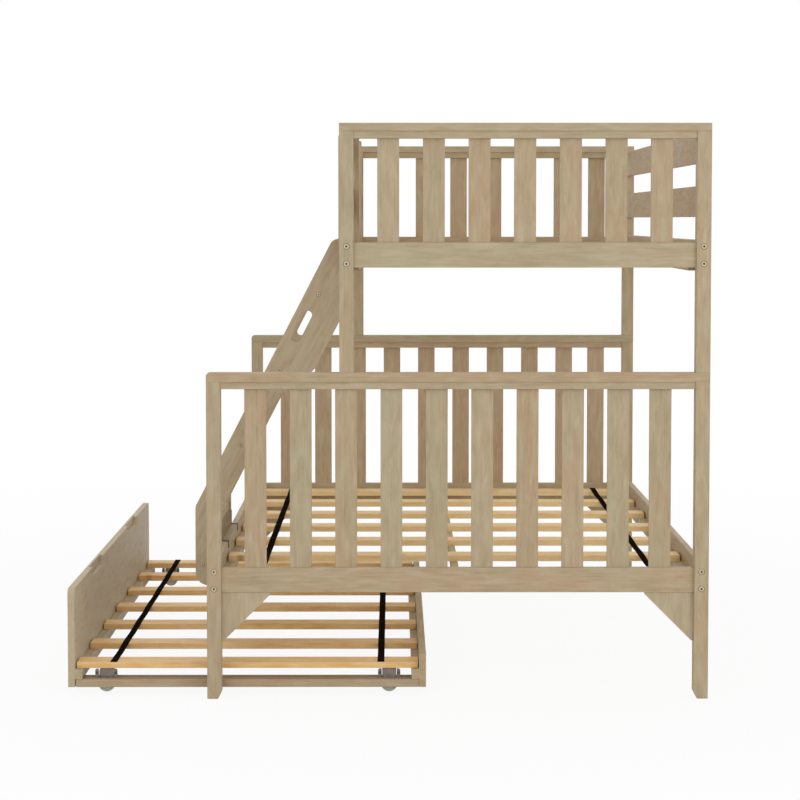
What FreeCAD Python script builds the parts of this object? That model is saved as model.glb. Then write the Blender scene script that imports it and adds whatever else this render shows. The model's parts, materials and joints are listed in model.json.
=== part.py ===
import FreeCAD, Part
import math
import os

from FreeCAD import Vector

# Bunk bed with a wide lower bunk, a narrower upper bunk flush with its right side,
# a sloping ladder on the left and a trundle that rolls out to the left.
# X runs across the bed, Y from the foot end to the head end, Z up from the floor.
# The origin is on the floor, in the middle of the space that bed and trundle cover
# with the trundle pulled part of the way out.

# Overall sizes
bed_width = 1440.0
bed_length = 2000.0
bed_height = 1651.0
upper_width = 1059.0
lower_height = 940.0

# Stock: posts, boards and the fits between them
post_side = 41.0
board_thick = 20.0
tenon_room = 0.5
overrun = 5.0
pin_fit = 0.25
running_fit = 0.05

# Foot and head ends
lower_cap_thick = 26.0
upper_cap_thick = 23.0
cap_round = 10.0
top_rail_height = 21.0
top_rail_thick = 33.0
end_rail_height = 71.5
lower_rail_bottom = 307.0
upper_end_height = 411.0
end_slat_width = 62.5
end_slat_thick = 12.0
end_slat_gap = 67.5
end_slat_housing = 8.0
foot_taper_width = 10.0
foot_taper_height = 20.0
gusset_reach = 141.0
gusset_thick = 14.0
gusset_setback = 4.0
gusset_nose = 6.0

# Side rails, guard planks and the boards that end the planks at the ladder
lower_side_height = 110.0
lower_side_drop = 22.0
upper_side_height = 89.0
upper_side_drop = 11.0
plank_width = 89.0
plank_count = 2
support_thick = 21.0
support_width = 60.0
support_room = 4.0

# Decks of both bunks
deck_slat_width = 75.0
deck_slat_thick = 18.0
deck_slat_pitch = 306.0
deck_end_room = 4.0
deck_side_room = 5.0
lower_deck_sink = 35.0
upper_deck_sink = 42.0
cleat_width = 25.0
cleat_height = 28.0
cleat_end_room = 30.0
beam_height = 32.0
beam_housing = 8.0
strap_width = 20.0
strap_thick = 1.5
strap_inset = 152.0

# Ladder
ladder_setback = 400.0
ladder_width = 390.0
ladder_overhang = 69.0
ladder_knee_height = 502.0
ladder_foot_bottom = 260.0
ladder_foot_round = 40.0
ladder_top_flat = 40.0
ladder_top_round = 26.0
ladder_narrow = 76.0
ladder_wide = 132.0
shoulder_drop = 472.0
shoulder_rise = 75.0
shoulder_round = 60.0
slot_length = 105.0
slot_width = 26.0
slot_drop = 266.0
step_pitch = 230.0
step_drop = 168.0
step_depth = 70.0
step_thick = 22.0
lowest_step = 420.0
dado_depth = 6.0
spreader_height = 40.0
spreader_inset = 21.0
spreader_rise = 64.0
hook_thick = 2.0
hook_width = 16.0
hook_rise = 45.0
hook_drop = 20.0

# Pins, bolts, barrel nuts and screws, their round sections in flats
fastener_sides = 8
post_pin_radius = 5.0
post_pin_below = 34.0
post_pin_above = 40.0
post_pin_inset = 10.5
bolt_radius = 3.0
bolt_head_radius = 8.0
bolt_head_thick = 3.0
bolt_inset = 11.0
bolt_bite = 1.5
nut_radius = 5.0
nut_length = 14.0
nut_inset = 20.0
screw_radius = 2.5
screw_head_radius = 6.0
screw_bite = 34.0
rail_screw_drop = 16.0
rail_screw_pitch = 24.0
bore_end_room = 2.0

# Trundle, and how far its front panel stands out from the bed in this pose
trundle_reach = 409.0
trundle_width = 1039.0
trundle_end_room = 60.0
trundle_clear = 21.0
front_panel_height = 289.0
front_panel_round = 20.0
rear_panel_height = 99.0
pull_length = 240.0
pull_height = 28.0
pull_depth = 12.0
pull_round = 24.0
pull_spread = 876.0
cross_board_width = 65.0
cross_board_thick = 23.0
trundle_cleat_width = 22.0
trundle_cleat_height = 30.0
trundle_slat_pitch = 306.0
trundle_slat_margin = 15.0
trundle_slat_room = 3.0
trundle_strap_inset = 131.0

# Fixed rollers under the trundle
caster_inset = 107.0
caster_setback = 44.0
wheel_radius = 25.0
wheel_width = 18.0
wheel_round = 3.0
wheel_sides = 32
dish_depth = 3.0
dish_rim = 5.0
axle_radius = 3.0
axle_sides = 24
axle_head_radius = 4.5
axle_head_thick = 1.5
cover_wall = 2.0
cover_lip = 4.0
cover_crown = 9.0
cover_top_room = 2.0
wheel_room = 1.5
slot_room = 3.0

# Places that follow from the sizes
bed_left = (trundle_reach - bed_width) / 2
bed_right = bed_left + bed_width
bed_middle = (bed_left + bed_right) / 2
upper_left = bed_right - upper_width
foot_face = -bed_length / 2
recess = (post_side - board_thick) / 2
tenon = recess - tenon_room
post_inner_y = foot_face + post_side
lower_post_top = lower_height - lower_cap_thick
upper_post_top = bed_height - upper_cap_thick
upper_rail_bottom = bed_height - upper_end_height
lower_side_bottom = lower_rail_bottom - lower_side_drop
lower_side_top = lower_side_bottom + lower_side_height
upper_side_bottom = upper_rail_bottom - upper_side_drop
upper_side_top = upper_side_bottom + upper_side_height
lower_deck_top = lower_side_top - lower_deck_sink
upper_deck_top = upper_side_top - upper_deck_sink

ACROSS = Vector(1, 0, 0)
ALONG = Vector(0, 1, 0)
UP = Vector(0, 0, 1)


def board(x_span, y_span, z_span):
    """Straight board between two places on each axis."""
    low = Vector(min(x_span), min(y_span), min(z_span))
    size = Vector(max(x_span), max(y_span), max(z_span)) - low
    return Part.makeBox(size.x, size.y, size.z, low)


def outline(corners, y_start, thick):
    """Plate cut to an outline in X and Z; each corner is (x, z, round)."""
    places = [Vector(x, y_start, z) for x, z, _ in corners]
    entries, exits, arcs = [], [], []
    for index, here in enumerate(places):
        radius = corners[index][2]
        back = places[index - 1] - here
        ahead = places[(index + 1) % len(places)] - here
        half_angle = back.getAngle(ahead) / 2
        reach = radius / math.tan(half_angle)
        back.normalize()
        ahead.normalize()
        entries.append(here + back * reach)
        exits.append(here + ahead * reach)
        middle = back + ahead
        if radius:
            middle.normalize()
            crest = here + middle * (radius / math.sin(half_angle) - radius)
            arcs.append(Part.Arc(entries[-1], crest, exits[-1]).toShape())
        else:
            arcs.append(None)
    edges = []
    for index, arc in enumerate(arcs):
        if arc:
            edges.append(arc)
        edges.append(Part.LineSegment(exits[index], entries[(index + 1) % len(places)]).toShape())
    return Part.Face(Part.Wire(edges)).extrude(ALONG * thick)


def head_end(shape):
    """The same piece at the head end of the bed."""
    return shape.mirror(Vector(0, 0, 0), ALONG)


def right_side(shape):
    """The same piece on the right side of the lower bunk."""
    return shape.mirror(Vector(bed_middle, 0, 0), ACROSS)


def both_ends(shapes):
    return shapes + [head_end(shape) for shape in shapes]


def laid_along(shape, place, direction):
    """A piece drawn from the origin along Z, moved to a place and turned to a direction."""
    moved = shape.copy()
    moved.Placement = FreeCAD.Placement(place, FreeCAD.Rotation(UP, direction))
    return moved


def save(name, *solids):
    shape = solids[0] if len(solids) == 1 else Part.makeCompound(list(solids))
    shape.exportStep(os.path.join("parts", name + ".step"))


def ring(radius, sides, height):
    """Closed regular outline round the Z axis, its flats square to X and Y."""
    turns = [math.pi * (2 * side + 1) / sides for side in range(sides)]
    corners = [Vector(radius * math.cos(turn), radius * math.sin(turn), height) for turn in turns]
    return Part.makePolygon(corners + corners[:1])


def rod(radius, start, end, sides=fastener_sides):
    """Straight bar along Z between two heights."""
    return Part.Face(ring(radius, sides, start)).extrude(UP * (end - start))


def running_bore(radius, sides):
    """Corner radius of a bore whose flats clear a turning pin."""
    return (radius + running_fit) / math.cos(math.pi / sides)


def headed_bolt(radius, head_radius, length):
    """Bolt along Z with its head's seat at zero."""
    return rod(head_radius, -bolt_head_thick, 0).fuse(rod(radius, 0, length)).removeSplitter()


def bolt_bore(radius, head_radius, length):
    """Room for a bolt: a sunk seat for its head and a hole for its shank."""
    sink = rod(head_radius + pin_fit, -bolt_head_thick - overrun, 0)
    return sink.fuse(rod(radius + pin_fit, -overrun, length + bore_end_room))


def end_slat_places(left, right):
    """Left edges of the upright slats: even gaps from the left, the last set from the right post."""
    first = left + post_side + end_slat_gap
    pitch = end_slat_width + end_slat_gap
    last = right - post_side - end_slat_gap - end_slat_width
    count = round((last - first) / pitch)
    return [first + pitch * index for index in range(count)] + [last]


class EndFrame:
    """Foot end of one bunk: two posts, a cap, two rails and upright slats."""

    def __init__(self, left, right, base, rail_bottom, post_top, cap_top, cap_corners, taper):
        self.rail_spans = (rail_bottom, rail_bottom + end_rail_height)
        rail_y = (foot_face + recess, foot_face + recess + board_thick)
        top_rail_y = foot_face + (post_side - top_rail_thick) / 2
        slat_y = foot_face + (post_side - end_slat_thick) / 2
        rail_x = (left + post_side - tenon, right - post_side + tenon)
        top_rail_bottom = post_top - top_rail_height
        self.slats = [board((place, place + end_slat_width), (slat_y, slat_y + end_slat_thick),
                            (self.rail_spans[1] - end_slat_housing, top_rail_bottom + end_slat_housing))
                      for place in end_slat_places(left, right)]
        rails = [board(rail_x, (top_rail_y, top_rail_y + top_rail_thick), (top_rail_bottom, post_top)),
                 board(rail_x, rail_y, self.rail_spans)]
        self.top_rail, self.bottom_rail = [rail.cut(self.slats) for rail in rails]
        left_corner, right_corner = cap_corners
        self.cap = outline([(left, post_top, 0), (right, post_top, 0),
                            (right, cap_top, right_corner), (left, cap_top, left_corner)],
                           foot_face, post_side)
        self.left_post = self.post(left, post_side, base, post_top, taper).cut(rails)
        self.right_post = self.post(right, -post_side, base, post_top, taper).cut(rails)

    def post(self, outer, inward, base, top, taper):
        """Square post, its foot tapered on the inner side when it stands on the floor."""
        taper_width, taper_height = taper
        inner = outer + inward
        toe = inner - math.copysign(taper_width, inward)
        corners = [(outer, base, 0), (toe, base, 0), (inner, base + taper_height, 0), (inner, top, 0),
                   (outer, top, 0)]
        if not taper_height:
            del corners[1]
        return outline(corners, foot_face, post_side)

    def bolt_heights(self, side_span):
        """Two bolts, in from the edges of the height that the end rail and a side rail share."""
        low = max(self.rail_spans[0], side_span[0])
        high = min(self.rail_spans[1], side_span[1])
        return (low + bolt_inset, high - bolt_inset)


lower_end = EndFrame(bed_left, bed_right, 0, lower_rail_bottom, lower_post_top, lower_height,
                     (cap_round, 0), (foot_taper_width, foot_taper_height))
upper_end = EndFrame(upper_left, bed_right, lower_height, upper_rail_bottom, upper_post_top, bed_height,
                     (0, 0), (0, 0))


# Steel pins that hold the upper posts on the lower caps, set to the outside of the rail bolts
pin_y = foot_face + post_side / 2
pin_places = [Vector(upper_left + post_pin_inset, pin_y, 0), Vector(bed_right - post_pin_inset, pin_y, 0)]
post_pin = rod(post_pin_radius, lower_height - post_pin_below, lower_height + post_pin_above)
pin_bore = rod(post_pin_radius + pin_fit, lower_height - post_pin_below - bore_end_room,
               lower_height + post_pin_above + bore_end_room)
pins = [post_pin.translated(place) for place in pin_places]
pin_bores = [pin_bore.translated(place) for place in pin_places]
lower_end.cap = lower_end.cap.cut(pin_bores)
lower_end.top_rail = lower_end.top_rail.cut(pin_bores)
lower_end.right_post = lower_end.right_post.cut(pin_bores)
upper_end.left_post = upper_end.left_post.cut(pin_bores)
upper_end.right_post = upper_end.right_post.cut(pin_bores)


# Side rails, bolted through the posts into barrel nuts
nut_from_seat = post_side - bolt_head_thick + nut_inset
bolt_length = nut_from_seat + bolt_bite
rail_bolt = headed_bolt(bolt_radius, bolt_head_radius, bolt_length)
rail_bore = bolt_bore(bolt_radius, bolt_head_radius, bolt_length)
nut_bore = rod(bolt_radius + pin_fit, -nut_radius - overrun, bolt_bite + bore_end_room)
barrel_nut = rod(nut_radius, 0, nut_length).cut(laid_along(nut_bore, UP * nut_length / 2, ALONG))
nut_room = rod(nut_radius + pin_fit, 0, board_thick + overrun)
rail_bolts, barrel_nuts = [], []


class SideRail:
    """Long board between two posts, with bolt and nut holes at each end."""

    def __init__(self, outer, inward, span, end):
        self.outer_face = outer + math.copysign(recess, inward)
        self.inner_face = self.outer_face + math.copysign(board_thick, inward)
        axis_x = outer + inward / 2
        self.bores = []
        nut_start = axis_x - math.copysign(nut_length / 2, inward)
        facing = ACROSS * math.copysign(1, inward)
        nut_holes = []
        for height in end.bolt_heights(span):
            seat = Vector(axis_x, foot_face + bolt_head_thick, height)
            nut_place = Vector(nut_start, seat.y + nut_from_seat, height)
            self.bores.append(laid_along(rail_bore, seat, ALONG))
            nut_holes.append(laid_along(nut_room, nut_place, facing))
            rail_bolts.append(laid_along(rail_bolt, seat, ALONG))
            barrel_nuts.append(laid_along(barrel_nut, nut_place, facing))
        plain = board((self.outer_face, self.inner_face), (post_inner_y, -post_inner_y), span)
        self.solid = plain.cut(both_ends(self.bores + nut_holes))


lower_span = (lower_side_bottom, lower_side_top)
upper_span = (upper_side_bottom, upper_side_top)
lower_left_rail = SideRail(bed_left, post_side, lower_span, lower_end)
lower_right_rail = SideRail(bed_right, -post_side, lower_span, lower_end)
upper_left_rail = SideRail(upper_left, post_side, upper_span, upper_end)
upper_right_rail = SideRail(bed_right, -post_side, upper_span, upper_end)
lower_end.left_post = lower_end.left_post.cut(lower_left_rail.bores)
lower_end.right_post = lower_end.right_post.cut(lower_right_rail.bores)
upper_end.left_post = upper_end.left_post.cut(upper_left_rail.bores)
upper_end.right_post = upper_end.right_post.cut(upper_right_rail.bores)


# Corner boards under the lower end rails
gusset_y = foot_face + recess + gusset_setback
gusset_side = bed_left + post_side
left_gusset = outline([(gusset_side, lower_rail_bottom, 0),
                       (gusset_side, lower_rail_bottom - gusset_reach, 0),
                       (gusset_side + gusset_nose, lower_rail_bottom - gusset_reach, 0),
                       (gusset_side + gusset_reach, lower_rail_bottom - gusset_nose, 0),
                       (gusset_side + gusset_reach, lower_rail_bottom, 0)], gusset_y, gusset_thick)
gussets = both_ends([left_gusset, right_side(left_gusset)])


# Ladder: the slope runs from the knee above the foot up to the upper side rail
class Ladder:
    knee_x = bed_left - ladder_overhang
    top_x = upper_left_rail.outer_face - ladder_top_flat
    slope = math.atan2(upper_side_top - ladder_knee_height, top_x - knee_x)
    near_y = foot_face + ladder_setback
    far_y = near_y + ladder_width

    def edge_x(self, height, inset):
        """X at a height on a line parallel to the outer edge and set in from it."""
        run = (height - ladder_knee_height) / math.tan(self.slope)
        return self.knee_x + run + inset / math.sin(self.slope)

    def edge_height(self, x, inset):
        """Height at an X on a line parallel to the outer edge and set in from it."""
        return ladder_knee_height + (x - self.edge_x(ladder_knee_height, inset)) * math.tan(self.slope)

    def step_place(self, index):
        """Middle of a step: on the slope, but never forward of the foot's middle."""
        height = upper_side_top - step_drop - step_pitch * index
        foot_middle = (self.knee_x + lower_left_rail.outer_face) / 2
        return max(self.edge_x(height, ladder_narrow / 2), foot_middle), height

    def hand_slot(self, y_start, thick):
        """Rounded grip hole along the slope."""
        height = upper_side_top - slot_drop
        middle = Vector(self.edge_x(height, ladder_narrow / 2), 0, height)
        radius = slot_width / 2
        half_flat = slot_length / 2 - radius
        ends = [Part.makeCylinder(radius, thick, Vector(place, y_start, 0), ALONG)
                for place in (-half_flat, half_flat)]
        flat = board((-half_flat, half_flat), (y_start, y_start + thick), (-radius, radius))
        slot = flat.fuse(ends).removeSplitter()
        slot.rotate(Vector(0, 0, 0), ALONG, -math.degrees(self.slope))
        slot.translate(middle)
        return slot

    def stringer(self, y_start):
        """Side board: a foot against the lower rail, a narrow run and a wide hand grip."""
        foot_in = lower_left_rail.outer_face
        top_in = upper_left_rail.outer_face
        shoulder_height = upper_side_top - shoulder_drop
        shoulder_top = shoulder_height + shoulder_rise
        corners = [(top_in, upper_side_top, 0),
                   (self.top_x, upper_side_top, ladder_top_round),
                   (self.knee_x, ladder_knee_height, ladder_foot_round),
                   (self.knee_x, ladder_foot_bottom, ladder_foot_round),
                   (foot_in, ladder_foot_bottom, 0),
                   (foot_in, self.edge_height(foot_in, ladder_narrow), 0),
                   (self.edge_x(shoulder_height, ladder_narrow), shoulder_height, shoulder_round),
                   (self.edge_x(shoulder_top, ladder_wide), shoulder_top, shoulder_round),
                   (top_in, self.edge_height(top_in, ladder_wide), 0)]
        plate = outline(corners, y_start, board_thick)
        return plate.cut(self.hand_slot(y_start - overrun, board_thick + 2 * overrun))

    def hook(self, middle):
        """Bent steel strap from a stringer's foot over the lower rail."""
        rail_out, rail_in = lower_left_rail.outer_face, lower_left_rail.inner_face
        corners = [(rail_out, lower_side_top, 0),
                   (rail_in, lower_side_top, 0),
                   (rail_in, lower_side_top - hook_drop, 0),
                   (rail_in + hook_thick, lower_side_top - hook_drop, 0),
                   (rail_in + hook_thick, lower_side_top + hook_thick, 0),
                   (rail_out + hook_thick, lower_side_top + hook_thick, 0),
                   (rail_out + hook_thick, lower_side_top + hook_rise, 0),
                   (rail_out, lower_side_top + hook_rise, 0)]
        return outline(corners, middle - hook_width / 2, hook_width)

    def cross_piece(self, x, height, depth, thick):
        """Board between the two stringers, let into both."""
        ends = (self.near_y + board_thick - dado_depth, self.far_y - board_thick + dado_depth)
        return board((x - depth / 2, x + depth / 2), ends, (height - thick / 2, height + thick / 2))


ladder = Ladder()
step_count = 1 + math.floor((upper_side_top - step_drop - lowest_step) / step_pitch)
step_places = [ladder.step_place(index) for index in range(step_count)]
spreader_place = (ladder.knee_x + spreader_inset, ladder_foot_bottom + spreader_rise)
steps = [ladder.cross_piece(x, height, step_depth, step_thick) for x, height in step_places]
spreader = ladder.cross_piece(*spreader_place, board_thick, spreader_height)
stringer_middles = (ladder.near_y + board_thick / 2, ladder.far_y - board_thick / 2)
hooks = [ladder.hook(middle) for middle in stringer_middles]

screw_length = board_thick - bolt_head_thick + screw_bite
ladder_screw = headed_bolt(screw_radius, screw_head_radius, screw_length)
screw_bore = bolt_bore(screw_radius, screw_head_radius, screw_length)
screw_seats = []
for x, height in step_places + [spreader_place]:
    screw_seats.append((Vector(x, ladder.near_y + bolt_head_thick, height), ALONG))
    screw_seats.append((Vector(x, ladder.far_y - bolt_head_thick, height), -ALONG))
for index in range(2):
    height = upper_side_top - rail_screw_drop - rail_screw_pitch * index
    seat_x = upper_left_rail.inner_face - bolt_head_thick
    for middle in stringer_middles:
        screw_seats.append((Vector(seat_x, middle, height), -ACROSS))
ladder_screws = [laid_along(ladder_screw, *seat) for seat in screw_seats]
screw_bores = [laid_along(screw_bore, *seat) for seat in screw_seats]
stringer_cuts = steps + [spreader] + screw_bores
near_stringer = ladder.stringer(ladder.near_y).cut(stringer_cuts)
far_stringer = ladder.stringer(ladder.far_y - board_thick).cut(stringer_cuts)
steps = [step.cut(screw_bores) for step in steps]
spreader = spreader.cut(screw_bores)
upper_left_rail.solid = upper_left_rail.solid.cut(screw_bores)


# Guard planks: whole on the right, parted at the ladder on the left
near_support_y = (ladder.near_y - support_room - support_width, ladder.near_y - support_room)
far_support_y = (ladder.far_y + support_room, ladder.far_y + support_room + support_width)
outer_support_x = (upper_left_rail.outer_face - support_thick, upper_left_rail.outer_face)
inner_support_x = (upper_left_rail.inner_face, upper_left_rail.inner_face + support_thick)
supports = []
for place in (near_support_y, far_support_y):
    supports.append(board(outer_support_x, place, (upper_side_bottom, upper_post_top)))
    supports.append(board(inner_support_x, place, (upper_deck_top + support_room, upper_post_top)))
plank_pitch = (upper_post_top - upper_side_top) / plank_count
plank_tops = [upper_post_top - plank_pitch * index for index in range(plank_count)]
plank_start = post_inner_y - tenon


def planks(rail, y_span):
    return [board((rail.outer_face, rail.inner_face), y_span, (top - plank_width, top)) for top in plank_tops]


right_planks = planks(upper_right_rail, (plank_start, -plank_start))
short_planks = planks(upper_left_rail, (plank_start, near_support_y[1]))
long_planks = planks(upper_left_rail, (far_support_y[0], -plank_start))
plank_ends = right_planks + short_planks + [head_end(plank) for plank in long_planks]
upper_end.left_post = upper_end.left_post.cut(plank_ends)
upper_end.right_post = upper_end.right_post.cut(plank_ends)


# Decks: slats on cleats along the side rails, tied together by two straps
def slat_row(count, pitch, end_middle):
    """Middles of evenly pitched slats, with the two end ones set from the ends."""
    inner = [pitch * (index - (count - 1) / 2) for index in range(1, count - 1)]
    return [-end_middle] + inner + [end_middle]


def fitted_count(end_middle, pitch):
    return 1 + round(2 * end_middle / pitch)


def deck(left_rail, right_rail, top):
    """Slats, cleats and straps of one bunk."""
    bottom = top - deck_slat_thick
    slat_x = (left_rail.inner_face + deck_side_room, right_rail.inner_face - deck_side_room)
    end_middle = -post_inner_y - deck_end_room - deck_slat_width / 2
    middles = slat_row(fitted_count(end_middle, deck_slat_pitch), deck_slat_pitch, end_middle)
    slats = [board(slat_x, (middle - deck_slat_width / 2, middle + deck_slat_width / 2), (bottom, top))
             for middle in middles]
    cleat_y = post_inner_y + cleat_end_room
    cleats = [board((rail.inner_face, rail.inner_face + inward), (cleat_y, -cleat_y),
                    (bottom - cleat_height, bottom))
              for rail, inward in ((left_rail, cleat_width), (right_rail, -cleat_width))]
    half_strap = end_middle + deck_slat_width / 2
    strap_middles = (left_rail.outer_face - recess + strap_inset,
                     right_rail.outer_face + recess - strap_inset)
    straps = [board((middle - strap_width / 2, middle + strap_width / 2), (-half_strap, half_strap),
                    (top, top + strap_thick)) for middle in strap_middles]
    return slats, cleats, straps


lower_slats, lower_cleats, lower_straps = deck(lower_left_rail, lower_right_rail, lower_deck_top)
upper_slats, upper_cleats, upper_straps = deck(upper_left_rail, upper_right_rail, upper_deck_top)

beam_top = lower_deck_top - deck_slat_thick
beam_end = foot_face + recess + board_thick - beam_housing
beam = board((bed_middle - board_thick / 2, bed_middle + board_thick / 2), (beam_end, -beam_end),
             (beam_top - beam_height, beam_top))
lower_end.bottom_rail = lower_end.bottom_rail.cut(beam)


# Trundle: two upright panels joined by flat cross boards that carry the rollers
trundle_left = bed_left - trundle_reach
trundle_right = trundle_left + trundle_width
trundle_foot = foot_face + trundle_end_room
panel_inner = trundle_left + board_thick
rear_inner = trundle_right - board_thick
front_top = trundle_clear + front_panel_height
cross_top = trundle_clear + cross_board_thick
trundle_slat_bottom = cross_top + trundle_cleat_height
trundle_slat_top = trundle_slat_bottom + deck_slat_thick


def finger_pull(middle):
    """Hand hold let into the panel's inner face, open at its top edge, drawn across like the panel."""
    foot, head = middle - pull_length / 2, middle + pull_length / 2
    top, bottom = front_top + overrun, front_top - pull_height
    return outline([(foot, bottom, pull_round), (head, bottom, pull_round), (head, top, 0), (foot, top, 0)],
                   -overrun, pull_depth + overrun)


def front_panel():
    """Panel drawn across, then turned to stand along the trundle."""
    panel = outline([(trundle_foot, trundle_clear, 0), (-trundle_foot, trundle_clear, 0),
                     (-trundle_foot, front_top, front_panel_round),
                     (trundle_foot, front_top, front_panel_round)], 0, board_thick)
    panel = panel.cut([finger_pull(side * pull_spread / 2) for side in (-1, 1)])
    panel.rotate(Vector(0, 0, 0), UP, math.degrees(math.pi / 2))
    panel.translate(ACROSS * panel_inner)
    return panel


rear_panel = board((rear_inner, trundle_right), (trundle_foot, -trundle_foot),
                   (trundle_clear, trundle_clear + rear_panel_height))
trundle_cleats = [board((start, start + width), (trundle_foot, -trundle_foot),
                        (cross_top, trundle_slat_bottom))
                  for start, width in ((panel_inner, trundle_cleat_width),
                                       (rear_inner, -trundle_cleat_width))]
trundle_end_middle = -trundle_foot - trundle_slat_margin - deck_slat_width / 2
trundle_middles = slat_row(fitted_count(trundle_end_middle, trundle_slat_pitch), trundle_slat_pitch,
                           trundle_end_middle)
trundle_slats = [board((panel_inner + trundle_slat_room, rear_inner - trundle_slat_room),
                       (middle - deck_slat_width / 2, middle + deck_slat_width / 2),
                       (trundle_slat_bottom, trundle_slat_top)) for middle in trundle_middles]
trundle_half_strap = trundle_end_middle + deck_slat_width / 2
trundle_straps = [board((middle - strap_width / 2, middle + strap_width / 2),
                        (-trundle_half_strap, trundle_half_strap),
                        (trundle_slat_top, trundle_slat_top + strap_thick))
                  for middle in (trundle_left + trundle_strap_inset, trundle_right - trundle_strap_inset)]


# Rollers: a wheel on a pin inside a pressed cover that drops through the cross board
cavity_half = wheel_radius + wheel_room
cavity_depth = wheel_width + 2 * wheel_room
cover_depth = cavity_depth + 2 * cover_wall
neck_half = cavity_half + cover_wall
hood_half = neck_half + cover_lip
hood_top = trundle_slat_bottom - cover_top_room
hood_side = hood_top - cover_crown
pin_middle = UP * wheel_radius


def caster_cover():
    """Hood over the wheel, drawn about x = 0 and y = 0 at its real height."""
    crown_half = hood_half - cover_crown
    shell = outline([(-neck_half, trundle_clear, 0), (neck_half, trundle_clear, 0), (neck_half, cross_top, 0),
                     (hood_half, cross_top, 0), (hood_half, hood_side, 0), (crown_half, hood_top, 0),
                     (-crown_half, hood_top, 0), (-hood_half, hood_side, 0), (-hood_half, cross_top, 0),
                     (-neck_half, cross_top, 0)], -cover_depth / 2, cover_depth)
    inner_crown = crown_half - cover_wall
    cavity = outline([(-cavity_half, trundle_clear - overrun, 0), (cavity_half, trundle_clear - overrun, 0),
                      (cavity_half, hood_side - cover_wall, 0), (inner_crown, hood_top - cover_wall, 0),
                      (-inner_crown, hood_top - cover_wall, 0), (-cavity_half, hood_side - cover_wall, 0)],
                     -cavity_depth / 2, cavity_depth)
    hole_radius = running_bore(axle_radius, fastener_sides)
    pin_hole = rod(hole_radius, -cover_depth / 2 - overrun, cover_depth / 2 + overrun)
    return shell.cut([cavity, laid_along(pin_hole, pin_middle, ALONG)])


def caster_axle():
    """Headed pin that lies across the cover."""
    half = cover_depth / 2
    shank = rod(axle_radius, -half, half, axle_sides)
    heads = [rod(axle_head_radius, start, start + axle_head_thick)
             for start in (-half - axle_head_thick, half)]
    return laid_along(shank.fuse(heads).removeSplitter(), pin_middle, ALONG)


def caster_wheel():
    """Roller on its pin: a tread with bevelled edges, dished sides and a plain bore."""
    half = wheel_width / 2
    blank = rod(wheel_radius, -half, half, wheel_sides)
    rims = [edge for edge in blank.Edges if abs(edge.Vertexes[0].Z - edge.Vertexes[1].Z) < wheel_round]
    dishes = [rod(wheel_radius - dish_rim, *span, axle_sides)
              for span in ((-half - overrun, dish_depth - half), (half - dish_depth, half + overrun))]
    bore = rod(running_bore(axle_radius, axle_sides), -half - overrun, half + overrun, axle_sides)
    wheel = blank.makeChamfer(wheel_round, rims).cut(dishes + [bore])
    return laid_along(wheel, pin_middle, ALONG)


caster_y = trundle_foot + caster_setback
caster_places = {
    "front_foot": Vector(trundle_left + caster_inset, caster_y, 0),
    "front_head": Vector(trundle_left + caster_inset, -caster_y, 0),
    "rear_foot": Vector(trundle_right - caster_inset, caster_y, 0),
    "rear_head": Vector(trundle_right - caster_inset, -caster_y, 0),
}
board_hole = board((-neck_half - pin_fit, neck_half + pin_fit),
                   (-cover_depth / 2 - slot_room, cover_depth / 2 + slot_room),
                   (trundle_clear - overrun, cross_top + overrun))
foot_cross_board = board((panel_inner, rear_inner), (trundle_foot, trundle_foot + cross_board_width),
                         (trundle_clear, cross_top))
board_holes = [board_hole.translated(place) for place in caster_places.values()]
cross_boards = [plain.cut(board_holes) for plain in both_ends([foot_cross_board])]


os.makedirs("parts", exist_ok=True)

# Foot and head ends of both bunks
for end_name, place in (("foot", lambda shape: shape), ("head", head_end)):
    for level, end in (("lower", lower_end), ("upper", upper_end)):
        save(f"{level}_post_{end_name}_left", place(end.left_post))
        save(f"{level}_post_{end_name}_right", place(end.right_post))
        save(f"{level}_cap_{end_name}", place(end.cap))
        save(f"{level}_top_rail_{end_name}", place(end.top_rail))
        save(f"{level}_bottom_rail_{end_name}", place(end.bottom_rail))
        save(f"{level}_end_slats_{end_name}", *[place(slat) for slat in end.slats])

# Rest of the lower bunk
save("lower_gussets", *gussets)
save("lower_side_rail_left", lower_left_rail.solid)
save("lower_side_rail_right", lower_right_rail.solid)
save("lower_cleats", *lower_cleats)
save("lower_deck_slats", *lower_slats)
save("lower_straps", *lower_straps)
save("centre_beam", beam)

# Rest of the upper bunk
save("upper_side_rail_left", upper_left_rail.solid)
save("upper_side_rail_right", upper_right_rail.solid)
save("upper_cleats", *upper_cleats)
save("upper_deck_slats", *upper_slats)
save("upper_straps", *upper_straps)
save("guard_planks_right", *right_planks)
save("guard_planks_left", *short_planks, *long_planks)
save("guard_supports", *supports)

# Ladder and fasteners
save("ladder_stringer_near", near_stringer)
save("ladder_stringer_far", far_stringer)
save("ladder_steps", *steps)
save("ladder_spreader", spreader)
save("ladder_hooks", *hooks)
save("ladder_screws", *ladder_screws)
save("post_pins", *both_ends(pins))
save("rail_bolts", *both_ends(rail_bolts))
save("barrel_nuts", *both_ends(barrel_nuts))

# Trundle
save("trundle_front_panel", front_panel())
save("trundle_rear_panel", rear_panel)
save("trundle_cross_boards", *cross_boards)
save("trundle_cleats", *trundle_cleats)
save("trundle_slats", *trundle_slats)
save("trundle_straps", *trundle_straps)
save("caster_covers", *[caster_cover().translated(place) for place in caster_places.values()])
save("caster_axles", *[caster_axle().translated(place) for place in caster_places.values()])
for name, place in caster_places.items():
    save(f"wheel_{name}", caster_wheel().translated(place))
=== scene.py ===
"""Bunk bed with a trundle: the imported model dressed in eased, grained boards, webbing, bolts and rollers."""

import json
import math
import random
from collections import namedtuple

import bmesh
import bpy
from mathutils import Matrix, Vector

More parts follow.
